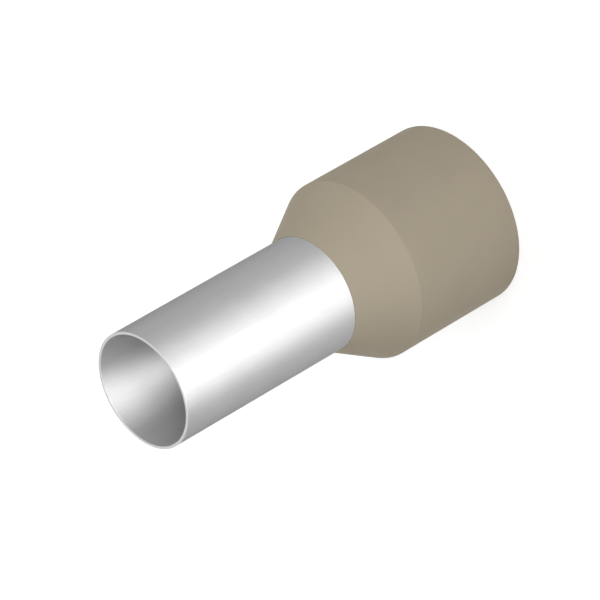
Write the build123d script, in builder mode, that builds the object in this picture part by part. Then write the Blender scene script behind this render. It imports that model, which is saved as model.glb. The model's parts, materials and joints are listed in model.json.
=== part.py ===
from build123d import *
from math import atan2, tan
import os

# Insulated wire ferrule for a stranded conductor of 35 square millimetres.
# A thin tinned copper sleeve takes the stripped strands and is crimped round them. Its rear end is flared,
# and a moulded collar grips it there. The collar widens in a cone to a skirt for the wire's insulation.
# The ferrule stands on the mouth of its collar. The origin is the centre of that mouth, and +Z runs along
# the axis to the mouth of the sleeve. Lengths are in millimetres.

# Metal sleeve
sleeve_bore = 8.3  # inside diameter, round the strands
sleeve_wall = 0.2
sleeve_reach = 16.0  # length that stands out of the collar
sleeve_edge_round = 0.02  # both edges of each cut end

# Flared rear end of the sleeve, and the seat for it in the collar
flare_bend = 4.0  # radius of the bell curve, on the side that faces the collar
flare_share = 0.5  # part of the funnel's width that the flare covers

# Moulded collar
collar_length = 14.0
collar_bore = 12.7  # inside diameter of the skirt, round the insulation
skirt_wall = 0.4
cone_length = 4.15  # axial length of the outside cone
lip_wall = 0.05  # flat edge round the sleeve at the tip of the cone
lip_depth = 0.05  # straight length inside the tip, before the bell curve
shoulder_round = 0.2  # outside, between cone and skirt
funnel_round = 0.8  # inside, between funnel and skirt
rim_round = 0.06  # both edges of the mouth

# Radii, heights and the slope of the cone, which follow from the sizes above
sleeve_radius = sleeve_bore / 2 + sleeve_wall
skirt_bore_radius = collar_bore / 2
collar_radius = skirt_bore_radius + skirt_wall
lip_radius = sleeve_radius + lip_wall
cone_slope = atan2(collar_radius - lip_radius, cone_length)  # angle from the axis, in radians
overall_length = collar_length + sleeve_reach
shoulder_height = collar_length - cone_length
bend_height = collar_length - lip_depth - flare_bend * tan(cone_slope / 2)  # corner that the bell rounds

# The funnel inside the collar is parallel to the cone outside, and the flare lies on its upper part
funnel_width = skirt_bore_radius - sleeve_radius
funnel_base_height = bend_height - funnel_width / tan(cone_slope)
flare_width = flare_share * funnel_width
flare_end_height = bend_height - flare_width / tan(cone_slope)

# Sleeve: a drawn tube of even wall, flared to a bell where it enters the collar
with BuildPart() as metal_sleeve:
    with BuildSketch(Plane.XZ) as sleeve_section:
        with BuildLine() as sleeve_outside:
            FilletPolyline(
                (sleeve_radius, overall_length),
                (sleeve_radius, bend_height),
                (sleeve_radius + flare_width, flare_end_height),
                radius=flare_bend,
            )
            offset(amount=sleeve_wall, side=Side.RIGHT)
        make_face()
        corners = sleeve_section.vertices().sort_by(Axis.Y)
        front_corners = corners[-2:]
        rear_corners = corners[:2]
        fillet(front_corners + rear_corners, radius=sleeve_edge_round)
    revolve(axis=Axis.Z)
metal_sleeve.part.label = "metal_sleeve"

# Collar: skirt and cone in one moulding, with a funnel inside that leads the strands into the sleeve
with BuildPart() as insulating_collar:
    with BuildSketch(Plane.XZ) as collar_section:
        with BuildLine() as collar_outline:
            FilletPolyline(
                (collar_radius, 0),
                (collar_radius, shoulder_height),
                (lip_radius, collar_length),
                (sleeve_radius, collar_length),
                (sleeve_radius, bend_height),
                (skirt_bore_radius, funnel_base_height),
                (skirt_bore_radius, 0),
                radius=[
                    rim_round,
                    shoulder_round,
                    0,
                    0,
                    flare_bend,
                    funnel_round,
                    rim_round,
                ],
                close=True,
            )
        make_face()
    revolve(axis=Axis.Z)
insulating_collar.part.label = "insulating_collar"

os.makedirs("parts", exist_ok=True)
export_step(metal_sleeve.part, "parts/metal_sleeve.step")
export_step(insulating_collar.part, "parts/insulating_collar.step")
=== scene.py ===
"""Insulated wire ferrule: a tinned copper sleeve with a moulded collar, standing on the collar's mouth."""
import json
from math import atan2, cos, pi, radians, sin, tan

import bpy
from mathutils import Euler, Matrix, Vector


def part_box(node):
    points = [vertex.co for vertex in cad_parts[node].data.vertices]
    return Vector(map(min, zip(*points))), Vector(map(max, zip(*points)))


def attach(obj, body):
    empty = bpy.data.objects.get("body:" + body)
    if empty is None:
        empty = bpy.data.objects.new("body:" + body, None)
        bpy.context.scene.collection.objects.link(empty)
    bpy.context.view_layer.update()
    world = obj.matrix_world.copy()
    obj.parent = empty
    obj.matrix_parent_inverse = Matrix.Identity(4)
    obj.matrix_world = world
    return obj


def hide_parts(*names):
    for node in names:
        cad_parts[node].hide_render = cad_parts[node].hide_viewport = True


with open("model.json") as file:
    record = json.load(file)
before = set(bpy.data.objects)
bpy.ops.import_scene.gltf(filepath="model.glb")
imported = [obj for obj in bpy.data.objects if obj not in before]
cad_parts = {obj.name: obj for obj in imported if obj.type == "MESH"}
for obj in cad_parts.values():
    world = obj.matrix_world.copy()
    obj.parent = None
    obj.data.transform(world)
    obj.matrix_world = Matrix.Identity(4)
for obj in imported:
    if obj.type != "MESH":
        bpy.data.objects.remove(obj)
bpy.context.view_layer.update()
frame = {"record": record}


# Metal sleeve.
# The real one is a length of thin copper tube, drawn, tinned and cut square. Its hidden end is flared to a
# bell, which sits in the collar's funnel and keeps the two together.
mm = 0.001
dims = {mount["name"]: mount["dims"] for mount in frame["record"]["mounts"]}
mouth_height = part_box("metal_sleeve")[1].z
collar_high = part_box("insulating_collar")[1]

bore_radius = dims["sleeve_bore"]["r_mm"] * mm
sleeve_radius = dims["sleeve_outside"]["r_mm"] * mm
sleeve_wall = sleeve_radius - bore_radius
sleeve_edge_round = 0.01 * mm

# The cone sets the slope of everything inside it
cone_length = 4.15 * mm
lip_wall = 0.05 * mm
lip_depth = 0.05 * mm
cone_slope = atan2(collar_high.x - sleeve_radius - lip_wall, cone_length)
bell_radius = 4.0 * mm
bend_height = collar_high.z - lip_depth - bell_radius * tan(cone_slope / 2)
funnel_width = dims["collar_bore"]["r_mm"] * mm - sleeve_radius
flare_width = funnel_width / 2


def turning_tree():
    """Geometry nodes that round the corners of a section and turn it about the Z axis, as on a lathe."""
    tree = bpy.data.node_groups.new("turned_section", "GeometryNodeTree")
    sockets = tree.interface
    sockets.new_socket("Section", in_out="INPUT", socket_type="NodeSocketGeometry")
    sockets.new_socket("Guide radius", in_out="INPUT", socket_type="NodeSocketFloat")
    sockets.new_socket("Steps round", in_out="INPUT", socket_type="NodeSocketInt")
    sockets.new_socket("Steps per corner", in_out="INPUT", socket_type="NodeSocketInt")
    sockets.new_socket("Material", in_out="INPUT", socket_type="NodeSocketMaterial")
    sockets.new_socket("Piece", in_out="OUTPUT", socket_type="NodeSocketGeometry")
    given = tree.nodes.new("NodeGroupInput").outputs
    nodes, links = tree.nodes, tree.links

    # A section is drawn with its radius along X and its height along Z
    outline = nodes.new("GeometryNodeMeshToCurve")
    links.new(given["Section"], outline.inputs["Mesh"])
    place = nodes.new("GeometryNodeInputPosition")
    parts = nodes.new("ShaderNodeSeparateXYZ")
    links.new(place.outputs["Position"], parts.inputs["Vector"])
    from_guide = nodes.new("ShaderNodeMath")
    from_guide.operation = "SUBTRACT"
    links.new(parts.outputs["X"], from_guide.inputs[0])
    links.new(given["Guide radius"], from_guide.inputs[1])
    down = nodes.new("ShaderNodeMath")
    down.operation = "MULTIPLY"
    down.inputs[1].default_value = -1
    links.new(parts.outputs["Z"], down.inputs[0])
    on_guide = nodes.new("ShaderNodeCombineXYZ")
    links.new(from_guide.outputs["Value"], on_guide.inputs["X"])
    links.new(down.outputs["Value"], on_guide.inputs["Y"])
    laid = nodes.new("GeometryNodeSetPosition")
    links.new(outline.outputs["Curve"], laid.inputs["Geometry"])
    links.new(on_guide.outputs["Vector"], laid.inputs["Position"])

    # Each corner has its own rounding
    rounding = nodes.new("GeometryNodeInputNamedAttribute")
    rounding.data_type = "FLOAT"
    rounding.inputs["Name"].default_value = "rounding"
    rounded = nodes.new("GeometryNodeFilletCurve")
    rounded.mode = "POLY"
    links.new(laid.outputs["Geometry"], rounded.inputs["Curve"])
    links.new(given["Steps per corner"], rounded.inputs["Count"])
    links.new(rounding.outputs["Attribute"], rounded.inputs["Radius"])

    # The section runs round the guide circle
    guide = nodes.new("GeometryNodeCurvePrimitiveCircle")
    links.new(given["Steps round"], guide.inputs["Resolution"])
    links.new(given["Guide radius"], guide.inputs["Radius"])
    turned = nodes.new("GeometryNodeCurveToMesh")
    links.new(guide.outputs["Curve"], turned.inputs["Curve"])
    links.new(rounded.outputs["Curve"], turned.inputs["Profile Curve"])
    smooth = nodes.new("GeometryNodeSetShadeSmooth")
    links.new(turned.outputs["Mesh"], smooth.inputs["Geometry"])
    real = nodes.new("GeometryNodeRealizeInstances")
    links.new(smooth.outputs["Geometry"], real.inputs["Geometry"])
    coated = nodes.new("GeometryNodeSetMaterial")
    links.new(real.outputs["Geometry"], coated.inputs["Geometry"])
    links.new(given["Material"], coated.inputs["Material"])
    made = nodes.new("NodeGroupOutput")
    links.new(coated.outputs["Geometry"], made.inputs["Piece"])
    return tree


def turned_piece(name, corners, material):
    """A closed round piece from the corners of its section, each a radius, a height and a rounding."""
    section = bpy.data.meshes.new(name)
    points = [(radius, 0, height) for radius, height, rounding in corners]
    last = len(points) - 1
    section.from_pydata(points, [(i, i + 1) for i in range(last)] + [(last, 0)], [])
    attribute = section.attributes.new("rounding", "FLOAT", "POINT")
    attribute.data.foreach_set("value", [rounding for radius, height, rounding in corners])
    piece = bpy.data.objects.new(name, section)
    bpy.context.scene.collection.objects.link(piece)

    turning = piece.modifiers.new("turning", "NODES")
    turning.node_group = lathe
    sizes = {
        "Guide radius": sleeve_radius,
        "Steps round": 256,
        "Steps per corner": 8,
        "Material": material,
    }
    for socket in lathe.interface.items_tree:
        if socket.name in sizes:
            turning[socket.identifier] = sizes[socket.name]
    normals = piece.modifiers.new("flat faces keep their own normals", "WEIGHTED_NORMAL")
    normals.weight = 100

    seen = piece.evaluated_get(bpy.context.evaluated_depsgraph_get())
    finished = bpy.data.meshes.new_from_object(seen)
    piece.modifiers.clear()
    piece.data = finished
    return piece


# Tin: its tones, and the sizes of its marks
dull_tin = (0.46, 0.46, 0.465, 1)
bright_tin = (0.515, 0.515, 0.515, 1)
drawing_line_width = 0.1 * mm
drawing_line_length = 5 * mm
drawing_line_depth = 0.002 * mm
cloud_width = 2 * mm
# The cut end's tones are lighter than the tube's tin: painted light, for the lit top face of the wall
dull_cut_painted_lighter = (0.53, 0.53, 0.53, 1)
bright_cut_painted_lighter = (0.61, 0.61, 0.61, 1)
cut_speckle_width = 0.1 * mm


def tinned_copper():
    """Satin tin on drawn copper, with faint lines along the tube and cloudy plating."""
    material = bpy.data.materials.new("tinned_copper")
    material.use_nodes = True
    nodes, links = material.node_tree.nodes, material.node_tree.links
    metal = nodes["Principled BSDF"]
    metal.inputs["Metallic"].default_value = 1.0
    metal.inputs["Specular Tint"].default_value = (0, 0, 0, 1)
    metal.inputs["Anisotropic"].default_value = 0.8
    metal.inputs["Anisotropic Rotation"].default_value = 0.25
    round_axis = nodes.new("ShaderNodeTangent")
    round_axis.direction_type = "RADIAL"
    round_axis.axis = "Z"
    links.new(round_axis.outputs["Tangent"], metal.inputs["Tangent"])

    # Drawing lines are noise, stretched along the tube
    coordinates = nodes.new("ShaderNodeTexCoord")
    along = nodes.new("ShaderNodeMapping")
    along.inputs["Scale"].default_value = (
        1 / drawing_line_width,
        1 / drawing_line_width,
        1 / drawing_line_length,
    )
    links.new(coordinates.outputs["Object"], along.inputs["Vector"])
    lines = nodes.new("ShaderNodeTexNoise")
    lines.inputs["Scale"].default_value = 1
    lines.inputs["Detail"].default_value = 3
    links.new(along.outputs["Vector"], lines.inputs["Vector"])

    # Clouds in the plating
    clouds = nodes.new("ShaderNodeTexNoise")
    clouds.inputs["Scale"].default_value = 1 / cloud_width
    clouds.inputs["Detail"].default_value = 4
    links.new(coordinates.outputs["Object"], clouds.inputs["Vector"])

    tone = nodes.new("ShaderNodeMix")
    tone.data_type = "RGBA"
    tone.inputs["A"].default_value = dull_tin
    tone.inputs["B"].default_value = bright_tin
    links.new(clouds.outputs["Fac"], tone.inputs["Factor"])
    links.new(tone.outputs["Result"], metal.inputs["Base Color"])

    # Roughness follows the lines
    gloss = nodes.new("ShaderNodeMapRange")
    gloss.inputs["From Min"].default_value = 0.3
    gloss.inputs["From Max"].default_value = 0.7
    gloss.inputs["To Min"].default_value = 0.61
    gloss.inputs["To Max"].default_value = 0.69
    links.new(lines.outputs["Fac"], gloss.inputs["Value"])
    links.new(gloss.outputs["Result"], metal.inputs["Roughness"])

    relief = nodes.new("ShaderNodeBump")
    relief.inputs["Strength"].default_value = 0.5
    relief.inputs["Distance"].default_value = drawing_line_depth
    links.new(lines.outputs["Fac"], relief.inputs["Height"])
    links.new(relief.outputs["Normal"], metal.inputs["Normal"])
    return material


def tinned_cut():
    """The same tin on the cut end of the wall, which has no drawing lines; its lighter tone is painted
    light for the lit top face of the wall.
    """
    material = bpy.data.materials.new("tinned_cut")
    material.use_nodes = True
    nodes, links = material.node_tree.nodes, material.node_tree.links
    metal = nodes["Principled BSDF"]
    metal.inputs["Metallic"].default_value = 1.0
    metal.inputs["Specular Tint"].default_value = (0.1, 0.1, 0.1, 1)
    metal.inputs["Roughness"].default_value = 0.55

    # Speckle that the blade leaves
    coordinates = nodes.new("ShaderNodeTexCoord")
    speckle = nodes.new("ShaderNodeTexNoise")
    speckle.inputs["Scale"].default_value = 1 / cut_speckle_width
    links.new(coordinates.outputs["Object"], speckle.inputs["Vector"])
    # Painted light: this tone runs lighter than the tube's tin, so the top face of the wall reads as lit
    tone = nodes.new("ShaderNodeMix")
    tone.data_type = "RGBA"
    tone.inputs["A"].default_value = dull_cut_painted_lighter
    tone.inputs["B"].default_value = bright_cut_painted_lighter
    links.new(speckle.outputs["Fac"], tone.inputs["Factor"])
    links.new(tone.outputs["Result"], metal.inputs["Base Color"])
    return material


# The inner line of the wall lies one wall behind the outer one, so its bell has a larger radius
lathe = turning_tree()
flare_end_height = bend_height - flare_width / tan(cone_slope)
inner_bend_height = bend_height - sleeve_wall * tan(cone_slope / 2)
sleeve_corners = [
    (bore_radius, mouth_height, sleeve_edge_round),
    (sleeve_radius, mouth_height, sleeve_edge_round),
    (sleeve_radius, bend_height, bell_radius),
    (sleeve_radius + flare_width, flare_end_height, sleeve_edge_round),
    (
        sleeve_radius + flare_width - sleeve_wall * cos(cone_slope),
        flare_end_height - sleeve_wall * sin(cone_slope),
        sleeve_edge_round,
    ),
    (bore_radius, inner_bend_height, bell_radius + sleeve_wall),
]
sleeve = turned_piece("tinned_sleeve", sleeve_corners, tinned_copper())
sleeve.data.materials.append(tinned_cut())
for face in sleeve.data.polygons:
    if face.center.z > mouth_height - sleeve_edge_round:
        face.material_index = 1
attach(sleeve, "root")
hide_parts("metal_sleeve")


# Insulating collar.
# The real one is a polypropylene moulding, beige throughout, with a fine matte surface. It is pushed over
# the sleeve's flared end, and its cone comes down to a thin lip round the tube.
collar_radius = collar_high.x
collar_bore_radius = dims["collar_bore"]["r_mm"] * mm
shoulder_height = collar_high.z - cone_length
shoulder_round = 0.2 * mm
funnel_round = 0.8 * mm
rim_round = 0.06 * mm
lip_round = 0.015 * mm

# Plastic: its tones, and the sizes of its marks
dark_beige = (0.343, 0.297, 0.225, 1)
light_beige = (0.371, 0.321, 0.244, 1)
pigment_cloud_width = 2.5 * mm
grain_width = mm / 6
grain_depth = 0.01 * mm


def collar_plastic():
    """Pigmented polypropylene with the fine grain of its mould."""
    material = bpy.data.materials.new("collar_plastic")
    material.use_nodes = True
    nodes, links = material.node_tree.nodes, material.node_tree.links
    plastic = nodes["Principled BSDF"]
    plastic.inputs["Roughness"].default_value = 0.65
    plastic.inputs["Specular IOR Level"].default_value = 0.1

    coordinates = nodes.new("ShaderNodeTexCoord")
    pigment = nodes.new("ShaderNodeTexNoise")
    pigment.inputs["Scale"].default_value = 1 / pigment_cloud_width
    pigment.inputs["Detail"].default_value = 3
    links.new(coordinates.outputs["Object"], pigment.inputs["Vector"])
    tone = nodes.new("ShaderNodeMix")
    tone.data_type = "RGBA"
    tone.inputs["A"].default_value = dark_beige
    tone.inputs["B"].default_value = light_beige
    links.new(pigment.outputs["Fac"], tone.inputs["Factor"])
    links.new(tone.outputs["Result"], plastic.inputs["Base Color"])

    grain = nodes.new("ShaderNodeTexNoise")
    grain.inputs["Scale"].default_value = 1 / grain_width
    grain.inputs["Detail"].default_value = 2
    links.new(coordinates.outputs["Object"], grain.inputs["Vector"])
    relief = nodes.new("ShaderNodeBump")
    relief.inputs["Strength"].default_value = 0.3
    relief.inputs["Distance"].default_value = grain_depth
    links.new(grain.outputs["Fac"], relief.inputs["Height"])
    links.new(relief.outputs["Normal"], plastic.inputs["Normal"])
    return material


collar_corners = [
    (collar_bore_radius, 0, rim_round),
    (collar_bore_radius, bend_height - funnel_width / tan(cone_slope), funnel_round),
    (sleeve_radius, bend_height, bell_radius),
    (sleeve_radius, collar_high.z, lip_round),
    (sleeve_radius + lip_wall, collar_high.z, lip_round),
    (collar_radius, shoulder_height, shoulder_round),
    (collar_radius, 0, rim_round),
]
collar = turned_piece("moulded_collar", collar_corners, collar_plastic())
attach(collar, "root")
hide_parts("insulating_collar")


# Floor and backdrop.
# A plain white floor that keeps a soft shadow, and a white surround.
floor_reach = 3.0  # metres from the ferrule to each side
floor_grey = (0.55, 0.55, 0.55, 1)
floor_lift = 0.61  # added where the eye or a mirror sees the floor, which brings it up to white
backdrop_white = (1, 1, 1, 1)
soft_light_level = 0.33

floor_mesh = bpy.data.meshes.new("floor")
floor_corners = [(x * floor_reach, y * floor_reach, 0) for x, y in ((-1, -1), (1, -1), (1, 1), (-1, 1))]
floor_mesh.from_pydata(floor_corners, [], [(0, 1, 2, 3)])
floor = bpy.data.objects.new("floor", floor_mesh)
bpy.context.scene.collection.objects.link(floor)


def seen_by_eye_or_mirror(nodes, links):
    """1 for rays from the camera, a mirror or glass, and 0 for rays that light the object."""
    path = nodes.new("ShaderNodeLightPath")
    largest = path.outputs["Is Camera Ray"]
    for ray in ("Is Glossy Ray", "Is Transmission Ray"):
        either = nodes.new("ShaderNodeMath")
        either.operation = "MAXIMUM"
        links.new(largest, either.inputs[0])
        links.new(path.outputs[ray], either.inputs[1])
        largest = either.outputs["Value"]
    return largest


floor_paint = bpy.data.materials.new("white_floor")
floor_paint.use_nodes = True
nodes, links = floor_paint.node_tree.nodes, floor_paint.node_tree.links
nodes.clear()
matte = nodes.new("ShaderNodeBsdfDiffuse")
matte.inputs["Color"].default_value = floor_grey
lift = nodes.new("ShaderNodeMath")
lift.operation = "MULTIPLY"
lift.inputs[1].default_value = floor_lift
links.new(seen_by_eye_or_mirror(nodes, links), lift.inputs[0])
glow = nodes.new("ShaderNodeEmission")
links.new(lift.outputs["Value"], glow.inputs["Strength"])
both = nodes.new("ShaderNodeAddShader")
links.new(matte.outputs["BSDF"], both.inputs[0])
links.new(glow.outputs["Emission"], both.inputs[1])
surface = nodes.new("ShaderNodeOutputMaterial")
links.new(both.outputs["Shader"], surface.inputs["Surface"])
floor_mesh.materials.append(floor_paint)

world = bpy.data.worlds.new("studio")
bpy.context.scene.world = world
world.use_nodes = True
nodes, links = world.node_tree.nodes, world.node_tree.links
nodes.clear()
soft_light = nodes.new("ShaderNodeBackground")
soft_light.inputs["Strength"].default_value = soft_light_level
backdrop = nodes.new("ShaderNodeBackground")
for part in (soft_light, backdrop):
    part.inputs["Color"].default_value = backdrop_white
choice = nodes.new("ShaderNodeMixShader")
links.new(seen_by_eye_or_mirror(nodes, links), choice.inputs["Fac"])
links.new(soft_light.outputs["Background"], choice.inputs[1])
links.new(backdrop.outputs["Background"], choice.inputs[2])
sky = nodes.new("ShaderNodeOutputWorld")
links.new(choice.outputs["Shader"], sky.inputs["Surface"])


# Lamps.
# Softboxes that face the middle of the ferrule. Bearings run from the camera's side towards -X.
middle = Vector((0, 0, 0.01499))
lamp_distance = 0.45


def softbox(name, bearing, elevation, width, height, level):
    """An area lamp that lights a white matte face turned to it to that level."""
    lamp = bpy.data.lights.new(name, "AREA")
    lamp.shape = "RECTANGLE"
    lamp.size = width
    lamp.size_y = height
    lamp.energy = level * pi**2 * lamp_distance**2
    box = bpy.data.objects.new(name, lamp)
    bpy.context.scene.collection.objects.link(box)
    toward = Vector((-sin(bearing) * cos(elevation), -cos(bearing) * cos(elevation), sin(elevation)))
    box.location = middle + toward * lamp_distance
    box.rotation_euler = toward.to_track_quat("Z", "Y").to_euler()
    box.visible_camera = False
    return box


softbox("key", radians(-14), radians(30), 0.42, 0.25, level=0.67)

# Three fills that light the matte surfaces and are hidden from gloss
side_fill = softbox("side_fill", radians(60), radians(11), 0.25, 0.17, level=0.25)
rear_fill = softbox("rear_fill", radians(-120), radians(60), 0.40, 0.40, level=0.28)
back_fill = softbox("back_fill", radians(180), radians(20), 0.40, 0.25, level=0.25)
for fill in (side_fill, rear_fill, back_fill):
    fill.visible_glossy = False

# Two glints that are seen only in gloss, and give the highlight on the metal its breadth
high_glint = softbox("high_glint", radians(20), radians(50), 0.25, 0.25, level=1.27)
low_glint = softbox("low_glint", radians(45), radians(20), 0.25, 0.25, level=0.44)
for glint in (high_glint, low_glint):
    glint.visible_diffuse = False


# Camera.
# It looks down on the standing ferrule and is rolled, so the tube points down to the left in the picture.
view_elevation = radians(35.55)
view_roll = radians(120)
view_distance = 0.3561
focal_length = 309.7  # millimetres
lens = bpy.data.cameras.new("camera")
lens.lens = focal_length
lens.sensor_width = 36
lens.clip_start = 0.01
camera = bpy.data.objects.new("camera", lens)
bpy.context.scene.collection.objects.link(camera)
back = Vector((0, -cos(view_elevation), sin(view_elevation)))
camera.location = middle + back * view_distance
level_turn = Euler((pi / 2 - view_elevation, 0, 0)).to_matrix()
roll = Euler((0, 0, -view_roll)).to_matrix()
camera.rotation_euler = (level_turn @ roll).to_euler()
bpy.context.scene.camera = camera
bpy.context.scene.view_settings.view_transform = "Standard"
